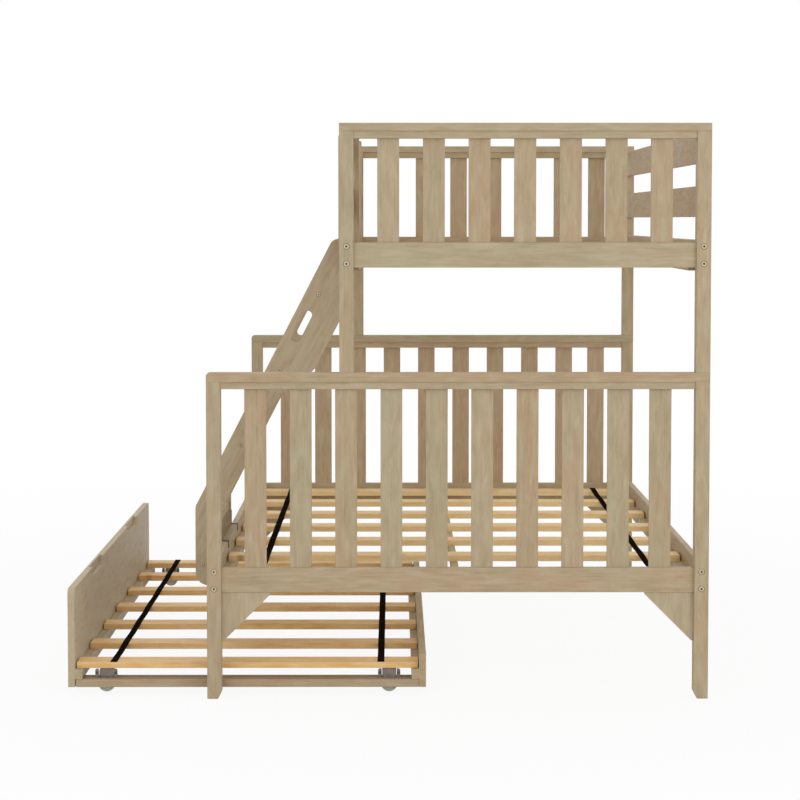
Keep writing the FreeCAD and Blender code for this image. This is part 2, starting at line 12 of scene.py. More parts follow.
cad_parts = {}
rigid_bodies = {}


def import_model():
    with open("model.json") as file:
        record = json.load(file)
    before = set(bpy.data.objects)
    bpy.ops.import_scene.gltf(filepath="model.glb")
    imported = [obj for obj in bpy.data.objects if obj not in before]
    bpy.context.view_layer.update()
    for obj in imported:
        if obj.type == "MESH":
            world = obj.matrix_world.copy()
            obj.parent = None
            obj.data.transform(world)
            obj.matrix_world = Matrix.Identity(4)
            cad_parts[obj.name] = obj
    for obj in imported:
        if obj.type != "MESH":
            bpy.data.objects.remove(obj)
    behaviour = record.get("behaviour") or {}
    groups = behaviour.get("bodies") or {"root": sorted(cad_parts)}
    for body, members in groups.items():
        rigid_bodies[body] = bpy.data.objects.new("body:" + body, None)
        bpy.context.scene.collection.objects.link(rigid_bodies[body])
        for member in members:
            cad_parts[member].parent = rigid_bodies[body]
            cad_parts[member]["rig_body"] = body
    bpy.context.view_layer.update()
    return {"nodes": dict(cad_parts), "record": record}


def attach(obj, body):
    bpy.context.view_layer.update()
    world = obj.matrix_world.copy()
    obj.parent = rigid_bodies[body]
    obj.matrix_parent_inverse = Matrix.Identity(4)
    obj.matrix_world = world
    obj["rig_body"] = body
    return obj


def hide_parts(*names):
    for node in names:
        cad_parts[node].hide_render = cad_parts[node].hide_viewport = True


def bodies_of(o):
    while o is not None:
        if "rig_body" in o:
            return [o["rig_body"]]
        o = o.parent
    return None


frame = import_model()
nodes = frame["nodes"]

Noise = namedtuple("Noise", "waves detail roughness distortion", defaults=(2.0, 0.5, 0.0))
Mark = namedtuple("Mark", "noise start full share")
Bolt = namedtuple("Bolt", "place along radius shank head length")
Lamp = namedtuple("Lamp", "name place aim power")

# Lengths are in metres, waves are counted on a metre, and a share is a part of the size that it is used with

# Camera: its lens and sensor are in millimetres, its dip and turn in radians
camera_place = (0.0206, -7.0470, 1.3784)
camera_dip = 0.0550
camera_turn = 0.0030
camera_lens = 95.64
camera_sensor = 36.0
camera_shift = -0.08

# Stage: the floor turns white between two distances from the object
white = (1.0, 1.0, 1.0, 1.0)
floor_reach = 30.0
floor_colour = (0.80, 0.80, 0.79, 1.0)
floor_roughness = 0.9
floor_specular = 0.1
white_start, white_full = 1.5, 4.5
near_white_share = 0.92
sky_level = 0.76
lamp_size = 3.0
lamps = [Lamp("key", (-2.2, -5.8, 2.8), (0.1, 0.0, 0.8), 37.0),
         Lamp("fill", (3.8, -4.8, 2.0), (-0.2, 0.0, 0.5), 47.0),
         Lamp("top", (0.2, 0.4, 5.0), (0.1, 0.0, 0.5), 28.0)]

# Wood: noises along, across and through a board, and the levels between which they mark it pale or dark
grain_noises = {"patches": Noise((5.0, 17.0, 17.0)),
                "clouds": Noise((13.0, 46.0, 46.0), distortion=0.5),
                "rings": Noise((1.8, 75.0, 75.0), distortion=0.9),
                "streaks": Noise((11.0, 190.0, 190.0), detail=3.0, roughness=0.55, distortion=0.3),
                "pores": Noise((24.0, 900.0, 900.0), detail=1.0)}
pale_marks = [Mark("clouds", 0.50, 0.28, 0.6), Mark("streaks", 0.46, 0.28, 0.5)]
dark_marks = [Mark("clouds", 0.52, 0.75, 0.5), Mark("streaks", 0.53, 0.76, 0.7),
              Mark("rings", 0.55, 0.78, 0.3), Mark("pores", 0.58, 0.80, 0.14)]
patch_levels = (0.35, 0.65)
patch_blush = (-0.3, 0.7)
knot_waves = (3.2, 5.0, 0.0)
knot_choice = 0.02
knot_levels = (0.055, 0.020)
knot_depth_share = 0.6
dark_levels = (0.0, 1.2)
dark_dulling = 0.16
pore_depth = 0.0003
pore_strength = 0.15
wood_specular = 0.32

# Webbing's weave
rib_pitch = 0.0022
warp_pitch = 0.0016
fuzz_noise = Noise((700.0, 700.0, 700.0))
selvedge_levels = (0.0084, 0.0092)
selvedge_pale_share = 0.5
weave_share, fuzz_share = 0.6, 0.4
thread_roughness = (0.92, 0.70)
weave_depth = 0.0004
weave_strength = 0.6

# Worked metal and plastic
# Black: the staples' coat, and painted shade on the ladder hooks, in bolt sockets and round bolt rims
black = (0.012, 0.010, 0.008, 1.0)
worked_clouds = Noise((60.0, 60.0, 60.0), detail=4.0)
cloud_share, grit_share = 0.6, 0.4
cloud_levels = (0.35, 0.65)
grit_levels = (0.3, 0.7)
grit_dulling = 0.14
grit_depth = 0.0002

# Boards: their edges, grain, tone and shade
board_ease = 0.0012
soft_ease = 0.0030
steel_ease = 0.0006
ease_steps = 2
ease_roundness = 0.5
shortest_edge_share = 1.5
sharp_angle = math.radians(60)
flat_angle = math.radians(0.5)
flat_weight = 100
contact_reach = 0.0008
level_reach = 0.00005
merge_reach = 0.000001
slit_boards = "trundle_cross_boards"
panel_slit = 0.0018
along_ladder = Matrix.Rotation(math.radians(62.7), 3, "Y")
grain_turns = {"ladder_stringer_near": along_ladder, "ladder_stringer_far": along_ladder}
grain_spread = 40.0
board_shades = 0.35
# Boards listed paler; on the lower deck slats and the trundle's front panel the paleness is painted light,
# making up for the shade that falls on them
paler_and_painted_lit_boards = {"trundle_front_panel": 0.95, "lower_gussets": 0.6, "ladder_stringer_near": 0.6,
                "lower_deck_slats": 0.9, "upper_end_slats_head": 0.5}
warmer_boards = {"trundle_front_panel": 0.8, "guard_planks_right": 0.8, "upper_end_slats_head": 1.6,
                 "lower_end_slats_head": 1.0}

# Straps and staples: the profile is in shares of half a strap's width and thickness
slats_under = {"lower_straps": "lower_deck_slats", "upper_straps": "upper_deck_slats",
               "trundle_straps": "trundle_slats"}
strap_thick = 0.0011
strap_sag = 0.0022
strap_step = 0.006
strap_profile_shares = [(-1.0, 0.0), (-0.94, 1.0), (-0.5, 0.8), (0.5, 0.8), (0.94, 1.0),
                        (1.0, 0.0), (0.94, -1.0), (-0.94, -1.0)]
hem_length = 0.035
hem_lift = 0.0008
staple_wire = 0.0006
staple_sides = 8
staple_crown = 0.011
staple_leg = 0.002
staple_spread = 0.022
staple_rise = 0.0005
staple_black = 0.94

# Bolts and screws: a head's profile is in shares of its depth and radius
bolt_nodes = ("rail_bolts", "ladder_screws")
bolt_sides = 36
head_profile_shares = [(0.0, 0.70), (0.015, 0.85), (0.06, 0.95), (0.14, 1.0), (0.16, 1.15), (0.40, 1.0),
                       (1.0, 1.0)]
hex_share = 0.38
hex_mouth_share = 0.41
socket_depth_share = 0.75
socket_edge_share = 0.04
# Painted shade: a socket is painted black, and the last rings of a head, round its rim, are painted dark as a
# painted shadow
socket_painted_shade = 1.0
rim_painted_shadow = 0.8
painted_shadow_rings = 6
mouth_share = 1.18
mouth_cuts = 3

# Rollers: one side's profile from bore to tread, in shares of the radius and of half the width
roller_sides = 48
roller_side_shares = [(0.14, 1.0), (0.30, 1.0), (0.33, 0.92), (0.36, 0.70), (0.72, 0.68), (0.78, 0.78),
                      (0.82, 0.96), (0.86, 1.0), (0.93, 0.97), (0.98, 0.80), (0.997, 0.40)]

# Roller covers and other steel
cover_hood = 0.041
cover_crown = 0.008
crown_bend_share = 0.3
cover_sheet = 0.002
cover_lip = 0.004
tab_gap = 0.0015
tab_drop = 0.003
ear_screw_radius = 0.0036
ear_screw_rise = 0.0016
ear_hex_share = 0.4
ear_socket_shares = (0.7, 0.02)
# The hooks' near black is painted shade
hook_painted_shade = 0.85
hidden_steel = ("post_pins", "barrel_nuts", "caster_axles")


def srgb(red, green, blue):
    """A display colour from 0 to 255 as the linear colour that a shader takes."""
    def linear(value):
        value /= 255
        return value / 12.92 if value <= 0.04045 else ((value + 0.055) / 1.055) ** 2.4

    return (linear(red), linear(green), linear(blue), 1.0)


# Materials


class Shading:
    """A node tree with short ways to add nodes to it."""

    def __init__(self, tree):
        self.tree = tree

    def feed(self, socket, value):
        """Links another node's output to a socket, or sets a constant on it."""
        if isinstance(value, bpy.types.NodeSocket):
            self.tree.links.new(value, socket)
        else:
            socket.default_value = value

    def node(self, kind, inputs=None, **settings):
        made = self.tree.nodes.new(kind)
        for name, value in settings.items():
            setattr(made, name, value)
        for socket, value in (inputs or {}).items():
            self.feed(made.inputs[socket], value)
        return made

    def attribute(self, name, output="Fac"):
        return self.node("ShaderNodeAttribute", attribute_name=name).outputs[output]

    def calc(self, operation, first, second=0.0):
        return self.node("ShaderNodeMath", {0: first, 1: second}, operation=operation).outputs[0]

    def scaled(self, vector, scale):
        return self.node("ShaderNodeVectorMath", {0: vector, 1: scale}, operation="MULTIPLY").outputs[0]

    def noise(self, vector, kind):
        sockets = {"Vector": self.scaled(vector, kind.waves), "Scale": 1.0, "Detail": kind.detail,
                   "Roughness": kind.roughness, "Distortion": kind.distortion}
        return self.node("ShaderNodeTexNoise", sockets).outputs["Fac"]

    def sine(self, along, pitch):
        return self.calc("SINE", self.calc("MULTIPLY", along, 2 * math.pi / pitch))

    def ramp(self, value, low, high, out_low=0.0, out_high=1.0):
        sockets = {"Value": value, "From Min": low, "From Max": high, "To Min": out_low, "To Max": out_high}
        return self.node("ShaderNodeMapRange", sockets, clamp=True).outputs["Result"]

    def weighed(self, weights):
        """The sum of some values, each times its weight."""
        total = 0.0
        for value, weight in weights:
            total = self.calc("ADD", total, self.calc("MULTIPLY", value, weight))
        return total

    def mix(self, share, first, second, clamped=True):
        """A mix of two colours, which are sockets 6 and 7 of the node; its colour output is the third."""
        sockets = {0: share, 6: first, 7: second}
        return self.node("ShaderNodeMix", sockets, data_type="RGBA", clamp_factor=clamped).outputs[2]

    def seen_rays(self):
        """One for rays that show the background: from the camera, a reflection or through glass."""
        path = self.node("ShaderNodeLightPath").outputs
        seen = self.calc("MAXIMUM", path["Is Camera Ray"], path["Is Glossy Ray"])
        return self.calc("MAXIMUM", seen, path["Is Transmission Ray"])


class Finish(Shading):
    """One procedural material and its shader."""

    def __init__(self, name):
        self.material = bpy.data.materials.new(name)
        self.material.use_nodes = True
        super().__init__(self.material.node_tree)
        self.shader = self.tree.nodes["Principled BSDF"]

    def surface(self, socket, value):
        self.feed(self.shader.inputs[socket], value)

    def bump(self, height, distance, strength):
        made = self.node("ShaderNodeBump", {"Height": height, "Distance": distance, "Strength": strength})
        self.surface("Normal", made.outputs["Normal"])


def wood(name, cool, warm, pale, vein, knot, knot_share, contrast, roughness):
    """Board wood read along each board's own grain: soft patches, short streaks, pores and a few knots."""
    finish = Finish(name)
    grain = finish.attribute("grain", "Vector")
    noises = {kind: finish.noise(grain, noise) for kind, noise in grain_noises.items()}

    def marked(marks):
        return finish.weighed([(finish.ramp(noises[mark.noise], mark.start, mark.full), mark.share)
                               for mark in marks])

    patches = finish.ramp(noises["patches"], *patch_levels, *patch_blush)
    blush = finish.calc("ADD", patches, finish.attribute("tone"))
    light = finish.calc("ADD", marked(pale_marks), finish.attribute("shade"))
    dark = marked(dark_marks)
    cells = finish.node("ShaderNodeTexVoronoi", {"Vector": finish.scaled(grain, knot_waves), "Scale": 1.0},
                        voronoi_dimensions="2D")
    clear_share = 1.0 - knot_share
    chosen = finish.ramp(cells.outputs["Color"], clear_share, clear_share + knot_choice)
    knots = finish.calc("MULTIPLY", finish.ramp(cells.outputs["Distance"], *knot_levels), chosen)
    colour = finish.mix(light, finish.mix(blush, cool, warm, clamped=False), pale)
    colour = finish.mix(finish.calc("MULTIPLY", dark, contrast), colour, vein)
    finish.surface("Base Color", finish.mix(finish.calc("MULTIPLY", knots, knot_depth_share), colour, knot))
    finish.surface("Roughness", finish.ramp(dark, *dark_levels, roughness, roughness + dark_dulling))
    finish.bump(finish.calc("ADD", dark, knots), pore_depth, pore_strength)
    finish.surface("Specular IOR Level", wood_specular)
    return finish.material


def webbing(name, dark, pale, selvedge):
    """Black woven webbing: ribs across, warp lines along, a paler selvedge."""
    finish = Finish(name)
    place = finish.attribute("grain", "Vector")
    parts = finish.node("ShaderNodeSeparateXYZ", {0: place}).outputs
    ribs, warps = finish.sine(parts["X"], rib_pitch), finish.sine(parts["Y"], warp_pitch)
    weave = finish.ramp(finish.calc("MULTIPLY", ribs, warps), -1.0, 1.0)
    edge = finish.ramp(finish.calc("ABSOLUTE", parts["Y"]), *selvedge_levels)
    thread = finish.weighed([(weave, weave_share), (finish.noise(place, fuzz_noise), fuzz_share)])
    edge_share = finish.calc("MULTIPLY", edge, selvedge_pale_share)
    finish.surface("Base Color", finish.mix(edge_share, finish.mix(thread, dark, pale), selvedge))
    finish.surface("Roughness", finish.ramp(thread, 0.0, 1.0, *thread_roughness))
    finish.bump(finish.calc("ADD", weave, edge), weave_depth, weave_strength)
    finish.surface("Specular IOR Level", 0.0)
    return finish.material


def worked(name, pale, dark, speckle, metallic, roughness, bump):
    """Plated, painted or moulded surface: cloudy colour, speckle, uneven gloss, black where coated and where
    shade is painted.
    """
    finish = Finish(name)
    place = finish.node("ShaderNodeTexCoord").outputs["Object"]
    clouds = finish.noise(place, worked_clouds)
    grit = finish.noise(place, Noise((speckle, speckle, speckle)))
    uneven = finish.weighed([(clouds, cloud_share), (grit, grit_share)])
    colour = finish.mix(finish.ramp(uneven, *cloud_levels), pale, dark)
    finish.surface("Base Color", finish.mix(finish.attribute("black_coat_and_painted_shade"), colour, black))
    finish.surface("Roughness", finish.ramp(grit, *grit_levels, roughness, roughness + grit_dulling))
    finish.bump(grit, grit_depth, bump)
    finish.surface("Metallic", metallic)
    return finish.material


materials = {
    "washed_wood": wood("washed wood", cool=srgb(173, 159, 127), warm=srgb(179, 155, 123),
                        pale=srgb(188, 172, 143), vein=srgb(134, 113, 84), knot=srgb(96, 70, 46),
                        knot_share=0.07, contrast=0.40, roughness=0.52),
    "pine_slats": wood("pine", cool=srgb(230, 192, 128), warm=srgb(230, 181, 116),
                       pale=srgb(238, 207, 152), vein=srgb(186, 134, 74), knot=srgb(140, 88, 46),
                       knot_share=0.30, contrast=0.40, roughness=0.48),
    "strap_webbing": webbing("webbing", dark=srgb(18, 13, 10), pale=srgb(36, 27, 20),
                             selvedge=srgb(42, 33, 26)),
    "zinc_steel": worked("zinc", pale=srgb(204, 190, 162), dark=srgb(180, 164, 136), speckle=900.0,
                         metallic=0.60, roughness=0.34, bump=0.10),
    "pressed_steel": worked("pressed steel", pale=srgb(146, 137, 129), dark=srgb(124, 116, 109),
                            speckle=1400.0, metallic=0.30, roughness=0.42, bump=0.15),
    "wheel_plastic": worked("wheel plastic", pale=srgb(226, 227, 217), dark=srgb(212, 213, 202),
                            speckle=1800.0, metallic=0.0, roughness=0.46, bump=0.20),
}


# Pieces

body_of = {name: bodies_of(node)[0] for name, node in nodes.items()}
slot_of = {part["node"]: part["material_slot"] for part in frame["record"]["subparts"]}


def add_piece(name, mesh, node, slot):
    """A finished mesh as a piece on the body of a node."""
    shape = bpy.data.meshes.new(name)
    mesh.to_mesh(shape)
    mesh.free()
    shape.materials.append(materials[slot])
    piece = bpy.data.objects.new(name, shape)
    bpy.context.collection.objects.link(piece)
    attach(piece, body_of[node])
    return piece


def stand_in(name, mesh, node):
    """A finished mesh as a piece in place of a node, on its body and in its material."""
    piece = add_piece(name, mesh, node, slot_of[node])
    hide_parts(node)
    return piece


def shade_smooth(piece):
    """Smooth shading on all faces of a piece."""
    for polygon in piece.data.polygons:
        polygon.use_smooth = True


def shade_eased(piece):
    """Smooth shading over the eased edges with flat faces kept flat."""
    shade_smooth(piece)
    normals = piece.modifiers.new("flat faces", "WEIGHTED_NORMAL")
    normals.weight = flat_weight
    normals.keep_sharp = True


def circle(radius, sides):
    """Corners of a circle round the origin, in the plane across an axis."""
    return [(radius * math.cos(2 * math.pi * i / sides), radius * math.sin(2 * math.pi * i / sides))
            for i in range(sides)]


def hexagon(radius, sides):
    """The same number of points as the circle, but on a hexagon."""
    points = []
    for index in range(sides):
        angle = 2 * math.pi * index / sides
        to_flat = (angle % (math.pi / 3)) - math.pi / 6
        reach = radius * math.cos(math.pi / 6) / math.cos(to_flat)
        points.append((reach * math.cos(angle), reach * math.sin(angle)))
    return points


def skin(mesh, rings):
    """Side faces between closed rings of points."""
    for first, second in zip(rings, rings[1:]):
        for index in range(len(first)):
            following = (index + 1) % len(first)
            mesh.faces.new((first[index], first[following], second[following], second[index]))


def closed_skin(mesh, rings):
    """Side faces between closed rings of points, and a face on the first and the last ring."""
    skin(mesh, rings)
    mesh.faces.new(rings[0])
    mesh.faces.new(rings[-1])


def blacken(mesh, share):
    """Gives worked metal a black coat all over; on the ladder hooks this black is painted shade."""
    black_coat_and_painted_shade = mesh.verts.layers.float.new("black_coat_and_painted_shade")
    for vertex in mesh.verts:
        vertex[black_coat_and_painted_shade] = share


# The frame's nodes, measured


def islands(mesh):
    """The separate solids of a mesh, each as a list of its vertices."""
    left = set(mesh.verts)
    found = []
    for start in mesh.verts:
        if start not in left:
            continue
        left.discard(start)
        solid, to_search = [start], [start]
        while to_search:
            for link in to_search.pop().link_edges:
                for vertex in link.verts:
                    if vertex in left:
                        left.discard(vertex)
                        solid.append(vertex)
                        to_search.append(vertex)
        found.append(solid)
    return found


def span(points):
    """Lowest and highest corner of some points."""
    low = Vector(map(min, zip(*points)))
    high = Vector(map(max, zip(*points)))
    return low, high


def merged(name):
    """A node's triangles with their corners joined."""
    mesh = bmesh.new()
    mesh.from_mesh(nodes[name].data)
    bmesh.ops.remove_doubles(mesh, verts=mesh.verts, dist=merge_reach)
    return mesh


def flat_faced(name):
    """A node's shape as whole flat faces in place of triangles."""
    mesh = merged(name)
    bmesh.ops.dissolve_limit(mesh, angle_limit=flat_angle, verts=mesh.verts, edges=mesh.edges)
    return mesh


def solid_points(name):
    """The corner points of each solid in a node."""
    mesh = merged(name)
    points = [[vertex.co.copy() for vertex in solid] for solid in islands(mesh)]
    mesh.free()
    return points


def measured(solid):
    """A plain fastener's measures: the middle of its head, its direction, both radii and both lengths."""
    low, high = span(solid)
    axis = max(range(3), key=lambda k: high[k] - low[k])
    crosswise = [k for k in range(3) if k != axis]
    middle = (low + high) / 2

    def reach(end):
        return max(math.hypot(*[point[k] - middle[k] for k in crosswise])
                   for point in solid if abs(point[axis] - end) < contact_reach)

    head_end, far_end = sorted((low[axis], high[axis]), key=reach, reverse=True)
    place, along = middle.copy(), Vector((0, 0, 0))
    place[axis] = head_end
    along[axis] = math.copysign(1.0, far_end - head_end)
    head = sorted({round(abs(point[axis] - head_end), 6) for point in solid})[1]
    return Bolt(place, along, reach(head_end), reach(far_end), head, abs(far_end - head_end))


boxes_of = {name: [span(solid) for solid in solid_points(name)] for name in nodes}
bolts_of = {name: [measured(solid) for solid in solid_points(name)] for name in bolt_nodes}
fastener_nodes = [name for name in nodes if slot_of[name] == "zinc_steel"]


# Boards


def touches(point, own, others):
    """Whether a point lies against a solid of one of the other nodes."""
    for name in others:
        if name == own:
            continue
        for low, high in boxes_of[name]:
            if all(a - contact_reach <= x <= b + contact_reach for a, x, b in zip(low, point, high)):
                return True
    return False


def ease(mesh, own, width, grooved=False):
    """Rounds a node's outer edges; those against another piece stay sharp unless the joint shows a groove."""
    others = fastener_nodes if grooved else nodes
    edges = []
    for edge in mesh.edges:
        if not edge.is_manifold or not edge.is_convex or edge.calc_face_angle(0.0) < sharp_angle:
            continue
        if edge.calc_length() < shortest_edge_share * width:
            continue
        middle = (edge.verts[0].co + edge.verts[1].co) / 2
        if not touches(middle, own, others):
            edges.append(edge)
    bmesh.ops.bevel(mesh, geom=edges, offset=width, offset_type="OFFSET", segments=ease_steps,
                    profile=ease_roundness, affect="EDGES", clamp_overlap=True)


def keep_sharp(mesh):
    """Marks the edges that weren't eased, so that shading isn't smoothed across them."""
    for edge in mesh.edges:
        if not edge.is_manifold or edge.calc_face_angle(0.0) >= sharp_angle:
            edge.smooth = False


def lay_grain(mesh, name):
    """Gives each board a place along, across and through its own grain, a tone and a shade."""
    chance = random.Random(name)
    turn = grain_turns.get(name)
    grain = mesh.verts.layers.float_vector.new("grain")
    tone = mesh.verts.layers.float.new("tone")
    shade = mesh.verts.layers.float.new("shade")
    for solid in islands(mesh):
        spots = [turn @ vertex.co if turn else vertex.co.copy() for vertex in solid]
        low, high = span(spots)
        order = sorted(range(3), key=lambda axis: low[axis] - high[axis])
        start = Vector(chance.uniform(0, grain_spread) for _ in range(3))
        board_tone = warmer_boards.get(name, chance.random())
        # A listed paleness, which on some boards is painted light, or else a random one
        board_shade = paler_and_painted_lit_boards.get(name, chance.uniform(0.0, board_shades))
        for vertex, spot in zip(solid, spots):
            vertex[grain] = start + Vector(spot[axis] - low[axis] for axis in order)
            vertex[tone] = board_tone
            vertex[shade] = board_shade


def part_from_panel(mesh):
    """Shortens the cross boards a little at the front panel, where the real joint shows a dark slit."""
    panel_face = min(vertex.co.x for vertex in mesh.verts)
    for vertex in mesh.verts:
        if vertex.co.x < panel_face + contact_reach:
            vertex.co.x += panel_slit


def open_mouth(mesh, bolt):
    """Rounds the flat-sided mouth of a bolt's hole, wider than the head; returns the faces round it."""
    def sideways(vertex):
        offset = vertex.co - bolt.place
        return offset - bolt.along * offset.dot(bolt.along)

    def level(vertex):
        return abs((vertex.co - bolt.place).dot(bolt.along)) < level_reach

    def on_mouth(vertex):
        return level(vertex) and sideways(vertex).length < bolt.radius + contact_reach

    rim = [edge for edge in mesh.edges if all(on_mouth(vertex) for vertex in edge.verts)]
    points = [vertex for edge in rim for vertex in edge.verts]
    for edge in rim:
        start, end = edge.verts
        for cut in range(mouth_cuts):
            _, start = bmesh.utils.edge_split(edge, start, 1 / (mouth_cuts + 1 - cut))
            edge = next(link for link in start.link_edges if end in link.verts)
            points.append(start)
    for vertex in points:
        vertex.co = bolt.place + sideways(vertex).normalized() * bolt.radius * mouth_share
    return [face for vertex in points for face in vertex.link_faces if all(map(level, face.verts))]


def open_mouths(mesh):
    """Rounds the mouths of all bolt holes in a board and fills its face again round them."""
    faces_along = {}
    for bolt in (bolt for node in bolt_nodes for bolt in bolts_of[node]):
        faces = faces_along.setdefault(tuple(bolt.along), {})
        faces.update(dict.fromkeys(open_mouth(mesh, bolt)))
    for along, faces in faces_along.items():
        edges = dict.fromkeys(edge for face in faces for edge in face.edges)
        outline = [edge for edge in edges if any(face not in faces for face in edge.link_faces)]
        bmesh.ops.delete(mesh, geom=list(faces), context="FACES_KEEP_BOUNDARY")
        bmesh.ops.triangle_fill(mesh, use_beauty=True, edges=outline, normal=-Vector(along))
    bmesh.ops.recalc_face_normals(mesh, faces=mesh.faces)


def boards(name):
    """A wooden node as eased, grained boards."""
    mesh = flat_faced(name)
    if name == slit_boards:
        part_from_panel(mesh)
    soft = "side_rail" in name or name == slit_boards
    grooved = "_post_" in name or name == slit_boards
    ease(mesh, name, soft_ease if soft else board_ease, grooved)
    open_mouths(mesh)
    keep_sharp(mesh)
    lay_grain(mesh, name)
    shade_eased(stand_in(f"{name}_boards", mesh, name))


# Webbing straps


def strap_path(low, high, slats):
    """Points along a stretched strap: flat over each slat, sagging in a parabola between two."""
    count = round((high.y - low.y) / strap_step)
    centre_x = (low.x + high.x) / 2
    path = []
    for index in range(count + 1):
        y = low.y + (high.y - low.y) * index / count
        drop = 0.0
        for (_, before), (after, _) in zip(slats, slats[1:]):
            if before.y < y < after.y:
                share = (y - before.y) / (after.y - before.y)
                drop = strap_sag * 4 * share * (1 - share)
        path.append(Vector((centre_x, y, low.z + strap_thick / 2 - drop)))
    return path


def strap(name, node, low, high, slats):
    """One strap as a closed woven band with folded hems at its ends."""
    half_width = (high.x - low.x) / 2
    half_thick = strap_thick / 2
    mesh = bmesh.new()
    grain = mesh.verts.layers.float_vector.new("grain")
    rings = []
    for point in strap_path(low, high, slats):
        from_end = min(point.y - low.y, high.y - point.y)
        lift = hem_lift if from_end < hem_length else 0.0
        ring = []
        for across, up in strap_profile_shares:
            rise = half_thick * up + (lift if up > 0 else 0.0)
            vertex = mesh.verts.new(point + Vector((half_width * across, 0, rise)))
            vertex[grain] = Vector((point.y, half_width * across, rise))
            ring.append(vertex)
        rings.append(ring)
    closed_skin(mesh, rings)
    bmesh.ops.recalc_face_normals(mesh, faces=mesh.faces)
    return stand_in(name, mesh, node)


def staple(mesh, middle):
    """One wire staple across a strap: its crown and the tops of both legs, mitred at both bends."""
    half = staple_crown / 2
    route = [(-half, -staple_leg, 0), (-half, 0, -1), (half, 0, 1), (half, -staple_leg, 0)]
    rings = []
    for x, z, tilt in route:
        outward = Vector((1, 0, tilt)).normalized()
        ring = []
        for along, out in circle(staple_wire, staple_sides):
            ring.append(mesh.verts.new(middle + Vector((x, along, z)) + outward * out))
        rings.append(ring)
    closed_skin(mesh, rings)


def straps(node, slat_node):
    """All straps of a deck with their staples."""
    slats = sorted(boxes_of[slat_node], key=lambda box: box[0].y)
    staples = bmesh.new()
    for number, (low, high) in enumerate(sorted(boxes_of[node], key=lambda box: box[0].x), 1):
        band = strap(f"{node}_{number}", node, low, high, slats)
        for slat_low, slat_high in slats:
            for side in (-1, 1):
                y = (slat_low.y + slat_high.y) / 2 + side * staple_spread / 2
                staple(staples, Vector(((low.x + high.x) / 2, y, low.z + strap_thick + staple_rise)))
    bmesh.ops.recalc_face_normals(staples, faces=staples.faces)
    blacken(staples, staple_black)
    add_piece(f"{node}_staples", staples, node, "zinc_steel")


# Bolts and screws


def turned(mesh, place, along, outlines):
    """A closed skin through outlines at depths along an axis: a socket black as painted shade, a crown, then a
    rim dark as painted shadow.
    """
    toward = along.to_track_quat("Z", "Y").to_matrix()
    black_coat_and_painted_shade = mesh.verts.layers.float.get("black_coat_and_painted_shade") or mesh.verts.layers.float.new("black_coat_and_painted_shade")
    rings = []
    for depth, outline in outlines:
        rings.append([mesh.verts.new(place + toward @ Vector((x, y, depth))) for x, y in outline])
    # Painted shade in the socket and painted shadow round the rim
    for vertex in rings[0] + rings[1]:
        vertex[black_coat_and_painted_shade] = socket_painted_shade
    for ring in rings[-painted_shadow_rings:]:
        for vertex in ring:
            vertex[black_coat_and_painted_shade] = rim_painted_shadow
    closed_skin(mesh, rings)


def headed(mesh, bolt):
    """A bolt with a round head, an eased rim and a hexagon socket, on a plain fastener's place."""
    socket = hexagon(bolt.radius * hex_share, bolt_sides)
    mouth = hexagon(bolt.radius * hex_mouth_share, bolt_sides)
    shank = circle(bolt.shank, bolt_sides)
    outlines = [(socket_depth_share * bolt.head, socket), (socket_edge_share * bolt.head, socket),
                (0.0, mouth)]
    outlines += [(depth * bolt.head, circle(bolt.radius * reach, bolt_sides))
                 for depth, reach in head_profile_shares]
    outlines += [(bolt.head, shank), (bolt.length, shank)]
    turned(mesh, bolt.place, bolt.along, outlines)


def bolts(node):
    """All bolts or screws of a node."""
    mesh = bmesh.new()
    for bolt in bolts_of[node]:
        headed(mesh, bolt)
    bmesh.ops.recalc_face_normals(mesh, faces=mesh.faces)
    stand_in(f"{node}_turned", mesh, node)


# Rollers


def roller(node):
    """A moulded wheel: crowned tread with rounded shoulders, dished sides and a raised hub."""
    low, high = boxes_of[node][0]
    middle = (low + high) / 2
    radius, half_width = (high.z - low.z) / 2, (high.y - low.y) / 2
    side = [(radius * reach, half_width * out) for reach, out in roller_side_shares]
    profile = side + [(radius, 0.0)] + [(reach, -y) for reach, y in reversed(side)]
    mesh = bmesh.new()
    rings = []
    for reach, y in profile:
        rings.append([mesh.verts.new(middle + Vector((x, y, z))) for x, z in circle(reach, roller_sides)])
    skin(mesh, rings + rings[:1])
    bmesh.ops.recalc_face_normals(mesh, faces=mesh.faces)
    shade_smooth(stand_in(f"{node}_moulded", mesh, node))


# Roller covers and other steel


def plate(mesh, outline, y_start, thick):
    """A flat plate cut to an outline in X and Z, with some thickness along Y."""
    closed_skin(mesh, [[mesh.verts.new(Vector((x, y, z))) for x, z in outline]
                       for y in (y_start, y_start + thick)])


def rectangle(x_start, z_start, x_end, z_end):
    """The outline of a rectangle in X and Z."""
    return [(x_start, z_start), (x_end, z_start), (x_end, z_end), (x_start, z_end)]


def hood_outline(seat, top):
    """A hood's outline about its middle, from one foot over the bent top to the other foot."""
    half, bend = cover_hood / 2, cover_crown * crown_bend_share
    right = [(half - cover_crown, top), (half - bend, top - bend), (half, top - cover_crown), (half, seat)]
    return [(-x, z) for x, z in reversed(right)] + right


def ear_screw(mesh, place):
    """A small screw's head that stands on a cover's ear."""
    socket = hexagon(ear_screw_radius * ear_hex_share, bolt_sides)
    outlines = [(depth * ear_screw_rise, socket) for depth in ear_socket_shares]
    outlines += [(depth * ear_screw_rise, circle(ear_screw_radius * reach, bolt_sides))
                 for depth, reach in head_profile_shares]
    turned(mesh, place, Vector((0, 1, 0)), outlines)


